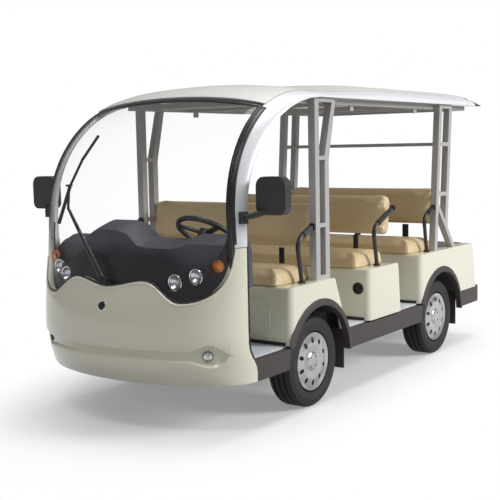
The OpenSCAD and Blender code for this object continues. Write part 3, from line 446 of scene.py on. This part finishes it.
lamp_rows = ((36.2, 0.862, 0.047, 0.044), (48.4, 0.895, 0.045, 0.046))
dishes, rings, bulbs = bmesh.new(), bmesh.new(), bmesh.new()
for side in (1, -1):
    for degrees, z, r, deep in lamp_rows:
        c = on_body(height_on_nose(z), degrees, deep)
        c.y *= side
        ahead = (1, 0, 0)
        bowl_r = r * 0.88
        shell = [(-0.040, 0.0), (-0.040, r * 0.55), (-0.014, r), (-0.003, r), (-0.004, bowl_r)]
        bowl = [(-0.030 + 0.026 * (k / 8) ** 2, bowl_r * k / 8) for k in range(7, -1, -1)]
        turned(dishes, shell + bowl, c, ahead)
        turned(rings, ring_section(-0.003, 0.002, 0.004, r, r * 0.95, bowl_r), c, ahead)
        turned(bulbs, [(-0.030, 0.010), (-0.016, 0.010), (-0.012, 0.007), (-0.011, 0.0)], c, ahead, 20)
dish_piece = new_piece("headlamp_reflectors", closed(dishes), facets, smooth=35)
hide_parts("headlamps")
new_piece("headlamp_rings", closed(rings), chrome, smooth=35)
new_piece("headlamp_bulbs", closed(bulbs), bulb_white, smooth=35)

cap_u = height_on_nose(0.725)
cap_ring = bmesh.new()
cap_section = ring_section(-0.002, 0.0035, 0.0045, 0.0245, 0.027, 0.0295)
turned(cap_ring, cap_section, on_body(cap_u, 0, 0), outward(cap_u, 0, 0))
new_piece("nose_cap_ring", closed(cap_ring), chrome, smooth=35)

# Fog lamps. Round lamps let into the eyes of the bumper's groove: a grey ring
# round a bright reflector with its bulb.
fog_u, fog_degrees, fog_seat, fog_r = height_on_nose(0.468), 57, 0.0276, 0.030
fog_dishes, fog_rings, fog_bulbs = bmesh.new(), bmesh.new(), bmesh.new()
fog_bowl_r = fog_r * 0.8
fog_bowl = [(0.002 + 0.007 * (k / 6) ** 2, fog_bowl_r * k / 6) for k in range(6, -1, -1)]
fog_section = ring_section(0.0, 0.009, 0.012, fog_r, fog_r * 0.9, fog_bowl_r)
for side in (1, -1):
    flip = Vector((1, side, 1))
    c, out = on_body(fog_u, fog_degrees, fog_seat) * flip, outward(fog_u, fog_degrees, fog_seat) * flip
    turned(fog_dishes, [(0.001, 0.0), (0.001, fog_bowl_r)] + fog_bowl, c, out)
    turned(fog_rings, fog_section, c, out)
    turned(fog_bulbs, [(0.002, 0.007), (0.009, 0.006), (0.010, 0.0)], c, out, 20)
fog_piece = new_piece("fog_lamp_reflectors", closed(fog_dishes), facets, smooth=35)
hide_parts("fog_lamps")
fog_grey = finish_of("fog_ring_grey", (0.16, 0.165, 0.15), 0.35, film=0.0)
new_piece("fog_lamp_rings", closed(fog_rings), fog_grey, smooth=35)
new_piece("fog_lamp_bulbs", closed(fog_bulbs), bulb_white, smooth=35)

# Indicators and tail lamps. One-piece moulded lenses screwed to the body, amber
# at the front corners and red at the back.
dress(["indicators"], finish_of("lamp_amber", (0.80, 0.22, 0.01), 0.2, coat=1.0, film=0.0))
dress(["tail_lamps"], finish_of("lamp_red", (0.45, 0.01, 0.01), 0.2, coat=1.0, film=0.0))

# Dashboard, steering, wiper, mirrors and charging inlet. Grained dark grey and black
# plastic; the dashboard is screwed in below the pane, the mirrors to the arches.
dash_plastic = finish_of("dash_plastic", (0.074, 0.068, 0.086), 0.55, film=0.0, grain=0.25, grain_scale=500)
dress(["dashboard"], dash_plastic)
black_plastic = finish_of(
    "black_plastic", (0.022, 0.020, 0.022), 0.42, film=0.0, grain=0.08, grain_scale=600
)
dress(["steering_column", "steering_wheel", "mirrors", "charge_port", "wiper"], black_plastic)


# Mirror glasses. Silvered glass panes with rounded corners, clipped into the rear
# faces of the mirror shells.
def block(bm, centre, size):
    """Box of a centre and a size, added to a mesh."""
    bmesh.ops.create_cube(bm, size=1, matrix=Matrix.Translation(centre) @ Matrix.Diagonal((*size, 1)))


silvered = finish_of("mirror_silver", (0.75, 0.77, 0.78), 0.05, metal=1.0, film=0.0)
panes = bmesh.new()
for side in (1, -1):
    block(panes, (1.3655, 0.868 * side, 1.325), (0.002, 0.156, 0.172))
upright = [e for e in panes.edges if abs(e.verts[0].co.x - e.verts[1].co.x) > 0.001]
bmesh.ops.bevel(panes, geom=upright, offset=0.028, segments=5, profile=0.5, affect="EDGES", material=-1)
new_piece("mirror_glasses", panes, silvered, smooth=30)

# Cushions and backrests. Tan vinyl sewn over foam blocks and drawn tight; the
# cushions lie on the seat boxes and the backrests are screwed to steel posts.
vinyl = finish_of("tan_vinyl", (0.72, 0.565, 0.335), 0.42, film=0.0, grain=0.2, grain_scale=350)


def baked(o):
    """The mesh of an object with its modifiers applied."""
    graph = bpy.context.evaluated_depsgraph_get()
    graph.update()
    mesh = bpy.data.meshes.new_from_object(o.evaluated_get(graph))
    o.modifiers.clear()
    return mesh


def stuffed(source, squeeze, rest_normal, rest_depth, travel):
    """A CAD solid's copy drawn in, remeshed and filled by cloth pressure; its resting side stays flat."""
    bm = bmesh.new()
    bm.from_mesh(node[source].data)
    bmesh.ops.remove_doubles(bm, verts=bm.verts, dist=0.00005)
    low, high = (Vector(v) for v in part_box(source))
    middle = (low + high) / 2
    bmesh.ops.scale(bm, vec=squeeze, space=Matrix.Translation(-middle), verts=bm.verts)
    mesh = bpy.data.meshes.new(source + "_foam")
    bm.to_mesh(mesh)
    bm.free()
    pad = bpy.data.objects.new(source + "_foam", mesh)
    scene.collection.objects.link(pad)
    remesh = pad.modifiers.new("remesh", "REMESH")
    remesh.mode = "VOXEL"
    remesh.voxel_size = 0.010
    pad.data = baked(pad)
    start = [v.co.copy() for v in pad.data.vertices]
    resting = [v.index for v in pad.data.vertices if (v.co - middle).dot(Vector(rest_normal)) > rest_depth]
    pad.vertex_groups.new(name="rest").add(resting, 1.0, "REPLACE")
    cloth = pad.modifiers.new("filling", "CLOTH")
    cloth.settings.use_pressure = True
    cloth.settings.uniform_pressure_force = 4
    cloth.settings.effector_weights.gravity = 0
    cloth.settings.vertex_group_mass = "rest"
    for f in range(1, 21):
        scene.frame_set(f)
    pad.data = baked(pad)
    for v, old in zip(pad.data.vertices, start):
        move = v.co - old
        if move.length > 1e-6:
            v.co = old + move.normalized() * travel * (1 - math.exp(-move.length / travel))
    result = pad.data
    bpy.data.objects.remove(pad)
    return result


for part, squeeze, rest_normal, rest_depth, travel in (
    ("cushion", (0.975, 0.978, 0.84), (0, 0, -1), 0.030, 0.024),
    ("backrest", (0.90, 0.978, 0.955), (-0.990, 0, -0.139), 0.026, 0.020),
):
    form = stuffed(part + "_front", squeeze, rest_normal, rest_depth, travel)
    first = Vector(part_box(part + "_front")[0])
    for row in ("front", "middle", "rear"):
        shift = Vector(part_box(part + "_" + row)[0]) - first
        bm = bmesh.new()
        bm.from_mesh(form)
        bmesh.ops.translate(bm, vec=shift, verts=bm.verts)
        if part == "cushion":
            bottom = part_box(part + "_" + row)[0][2] + 0.0005
            bmesh.ops.translate(bm, vec=(0, 0, bottom - min(v.co.z for v in bm.verts)), verts=bm.verts)
        pad = new_piece(part + "_vinyl_" + row, bm, vinyl, smooth=180)
        finer = pad.modifiers.new("finer", "SUBSURF")
        finer.levels = finer.render_levels = 1
        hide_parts(part + "_" + row)

# Rear deck mat. Ribbed grey rubber laid on the flat top of the rear body behind
# the last bench.
deck_rubber = finish_of("deck_rubber", (0.20, 0.20, 0.205), 0.6, film=0.0, grain=0.2, grain_scale=300)
mat = bmesh.new()
block(mat, (-1.384, 0, 0.7868), (0.52, 1.30, 0.003))
new_piece("rear_deck_mat", mat, deck_rubber)

# Seat posts, handrails and foot seals. Black enamelled steel posts and tubes with
# foam grips; a black rubber strip closes the foot of each seat box.
black_enamel = finish_of("black_enamel", (0.010, 0.008, 0.010), 0.42, coat=0.3, film=0.0)
dress(["seat_brackets", "handrails"], black_enamel)
first_box, middle_box, last_box = 1.042, 0.085, -0.706
strips = bmesh.new()
for x in (first_box, middle_box, last_box):
    block(strips, (x + 0.003, 0, 0.4355), (0.006, 1.40, 0.020))
new_piece("seat_box_foot_seals", strips, seal_rubber)

# Seat box panels. A raised line moulded in the front of the first and last box
# marks the edge of a flat panel with rounded upper corners.
panels = bmesh.new()
corner_y, corner_z, corner_r = 0.54, 0.66, 0.05
half = [(corner_y + corner_r, 0.50 + 0.016 * k) for k in range(10)]
for a in (math.radians(15 * k) for k in range(6)):
    half.append((corner_y + corner_r * math.cos(a), corner_z + corner_r * math.sin(a)))
half += [(corner_y * (1 - k / 10), corner_z + corner_r) for k in range(10)]
line = half + [(-y, z) for y, z in half[::-1]]
for x in (first_box, last_box):
    cord(panels, [Vector((x + 0.001, y, z)) for y, z in line], 0.005, 8)
bmesh.ops.recalc_face_normals(panels, faces=panels.faces)
new_piece("seat_box_panels", panels, gel_coat, smooth=60)

# Road wheels. Steel rims with silver slotted covers clipped on, and black
# radial tyres.
cover_silver = finish_of("cover_silver", (0.50, 0.51, 0.52), 0.26, metal=0.75, coat=0.2, film=0.15)
dress(["wheel_fl", "wheel_fr", "wheel_rl", "wheel_rr"], cover_silver)
tyre_rubber = finish_of("tyre_rubber", (0.011, 0.0086, 0.0086), 0.62, film=0.05, grain=0.1, grain_scale=700)
dress(["tyre_fl", "tyre_fr", "tyre_rl", "tyre_rr"], tyre_rubber)

# Cover slots. The cooling holes pressed in each wheel cover look through to the
# dark rim in shade behind it; thin dark discs on the cover stand in for that rim and its shade as painted
# shade, and turn with the wheel.
# Near-black discs: painted shade in the cover's holes.
slot_painted_shade = finish_of("slot_painted_shade", (0.012, 0.012, 0.013), 0.7, film=0.0)
front_x, rear_x, cover_y, hub_z = 0.75, -1.03, 0.6782, 0.28
hole_count, hole_circle = 10, 0.131
for name, x, side in (("fl", front_x, 1), ("fr", front_x, -1), ("rl", rear_x, 1), ("rr", rear_x, -1)):
    holes = bmesh.new()
    for k in range(hole_count):
        spot = (
            Matrix.Translation((x, side * cover_y, hub_z))
            @ Matrix.Rotation(-side * math.pi / 2, 4, "X")
            @ Matrix.Rotation(2 * math.pi * (k + 0.5) / hole_count, 4, "Z")
            @ Matrix.Translation((hole_circle, 0, 0))
            @ Matrix.Diagonal((0.0186, 0.0136, 1, 1))
        )
        bmesh.ops.create_circle(holes, cap_ends=True, segments=20, radius=1, matrix=spot)
    new_piece("cover_slot_shade_" + name, holes, slot_painted_shade, body="road_wheel_" + name)

# Stage. A white floor and soft light from all round; a large key lamp stands on the
# bus's left, one hangs above and a small one ahead shades the bumper's groove.
ground = bmesh.new()
bmesh.ops.create_grid(ground, x_segments=1, y_segments=1, size=30)
mesh = bpy.data.meshes.new("floor")
ground.to_mesh(mesh)
ground.free()
floor = bpy.data.objects.new("floor", mesh)
scene.collection.objects.link(floor)
white = bpy.data.materials.new("white_floor")
white.use_nodes = True
fn, fl = white.node_tree.nodes, white.node_tree.links.new
card = fn["Principled BSDF"]
shade = fn.new("ShaderNodeMix")
shade.data_type = "RGBA"
shade.inputs["A"].default_value = (0.40, 0.40, 0.41, 1)
shade.inputs["B"].default_value = (0.94, 0.94, 0.94, 1)
fl(shade.outputs["Result"], card.inputs["Base Color"])
card.inputs["Roughness"].default_value = 0.9
card.inputs["Specular IOR Level"].default_value = 0.0
bright = fn.new("ShaderNodeEmission")
away = fn.new("ShaderNodeTexCoord")
oval = fn.new("ShaderNodeMapping")
oval.inputs["Scale"].default_value = (0.50, 0.86, 1)
fl(away.outputs["Object"], oval.inputs["Vector"])
reach = fn.new("ShaderNodeVectorMath")
reach.operation = "LENGTH"
fl(oval.outputs["Vector"], reach.inputs[0])
fade = fn.new("ShaderNodeMapRange")
fade.interpolation_type = "SMOOTHSTEP"
fade.inputs["From Min"].default_value = 0.75
fade.inputs["From Max"].default_value = 1.45
fade.inputs["To Min"].default_value = 0.25
fl(reach.outputs["Value"], fade.inputs["Value"])
ray = fn.new("ShaderNodeLightPath").outputs
fl(ray["Is Camera Ray"], shade.inputs["Factor"])
direct = math_node(white.node_tree, "MAXIMUM", ray["Is Camera Ray"], ray["Is Transmission Ray"])
seen_at_all = math_node(white.node_tree, "MAXIMUM", direct, ray["Is Glossy Ray"])
blend = fn.new("ShaderNodeMixShader")
fl(math_node(white.node_tree, "MULTIPLY", fade.outputs["Result"], seen_at_all), blend.inputs["Fac"])
fl(card.outputs["BSDF"], blend.inputs[1])
fl(bright.outputs["Emission"], blend.inputs[2])
fl(blend.outputs["Shader"], fn["Material Output"].inputs["Surface"])
mesh.materials.append(white)

world = bpy.data.worlds.new("studio")
scene.world = world
world.use_nodes = True
wn, wl = world.node_tree.nodes, world.node_tree.links.new
back = wn["Background"]
back.inputs["Color"].default_value = (1, 1, 1, 1)
back.inputs["Strength"].default_value = 0.27
seen = wn.new("ShaderNodeBackground")
seen.inputs["Color"].default_value = (1, 1, 1, 1)
seen.inputs["Strength"].default_value = 1.0
path = wn.new("ShaderNodeLightPath")
mix = wn.new("ShaderNodeMixShader")
wl(path.outputs["Is Camera Ray"], mix.inputs["Fac"])
wl(back.outputs["Background"], mix.inputs[1])
wl(seen.outputs["Background"], mix.inputs[2])
wl(mix.outputs["Shader"], wn["World Output"].inputs["Surface"])


def lamp(name, place, aim, size, power):
    """Round area lamp at a place, pointed at another."""
    light = bpy.data.lights.new(name, "AREA")
    light.shape = "DISK"
    light.size = size
    light.energy = power
    o = bpy.data.objects.new(name, light)
    toward = (Vector(aim) - Vector(place)).to_track_quat("-Z", "Y").to_matrix().to_4x4()
    o.matrix_world = Matrix.Translation(place) @ toward
    scene.collection.objects.link(o)


lamp("key", (-3.0, 9.0, 5.0), (0, 0, 0.8), 4.0, 730)
lamp("top", (-1.5, 0.5, 9.0), (0, 0, 0), 5.0, 380)
lamp("front", (5.0, 1.5, 6.5), (1.6, 0, 0.6), 2.0, 90)

# Camera at the photograph's place: left of the nose, a little above the
# waist, solved from the wheels and the body's straight edges.
spin, pitch, roll = math.radians(35.25596), math.radians(6.05464), math.radians(-1.14119)
back_dir = Vector((math.cos(pitch) * math.cos(spin), math.cos(pitch) * math.sin(spin), math.sin(pitch)))
right = Vector((0, 0, 1)).cross(back_dir).normalized()
up = back_dir.cross(right)
cam_x = right * math.cos(roll) + up * math.sin(roll)
cam_y = up * math.cos(roll) - right * math.sin(roll)
camera = bpy.data.cameras.new("photo_view")
camera.lens = 69.523
camera.sensor_width = 36
cam = bpy.data.objects.new("photo_view", camera)
turn = Matrix((cam_x, cam_y, back_dir)).transposed().to_4x4()
cam.matrix_world = Matrix.Translation((5.68621, 3.74118, 1.58312)) @ turn
scene.collection.objects.link(cam)
scene.camera = cam
scene.view_settings.view_transform = "Standard"

bpy.context.view_layer.update()
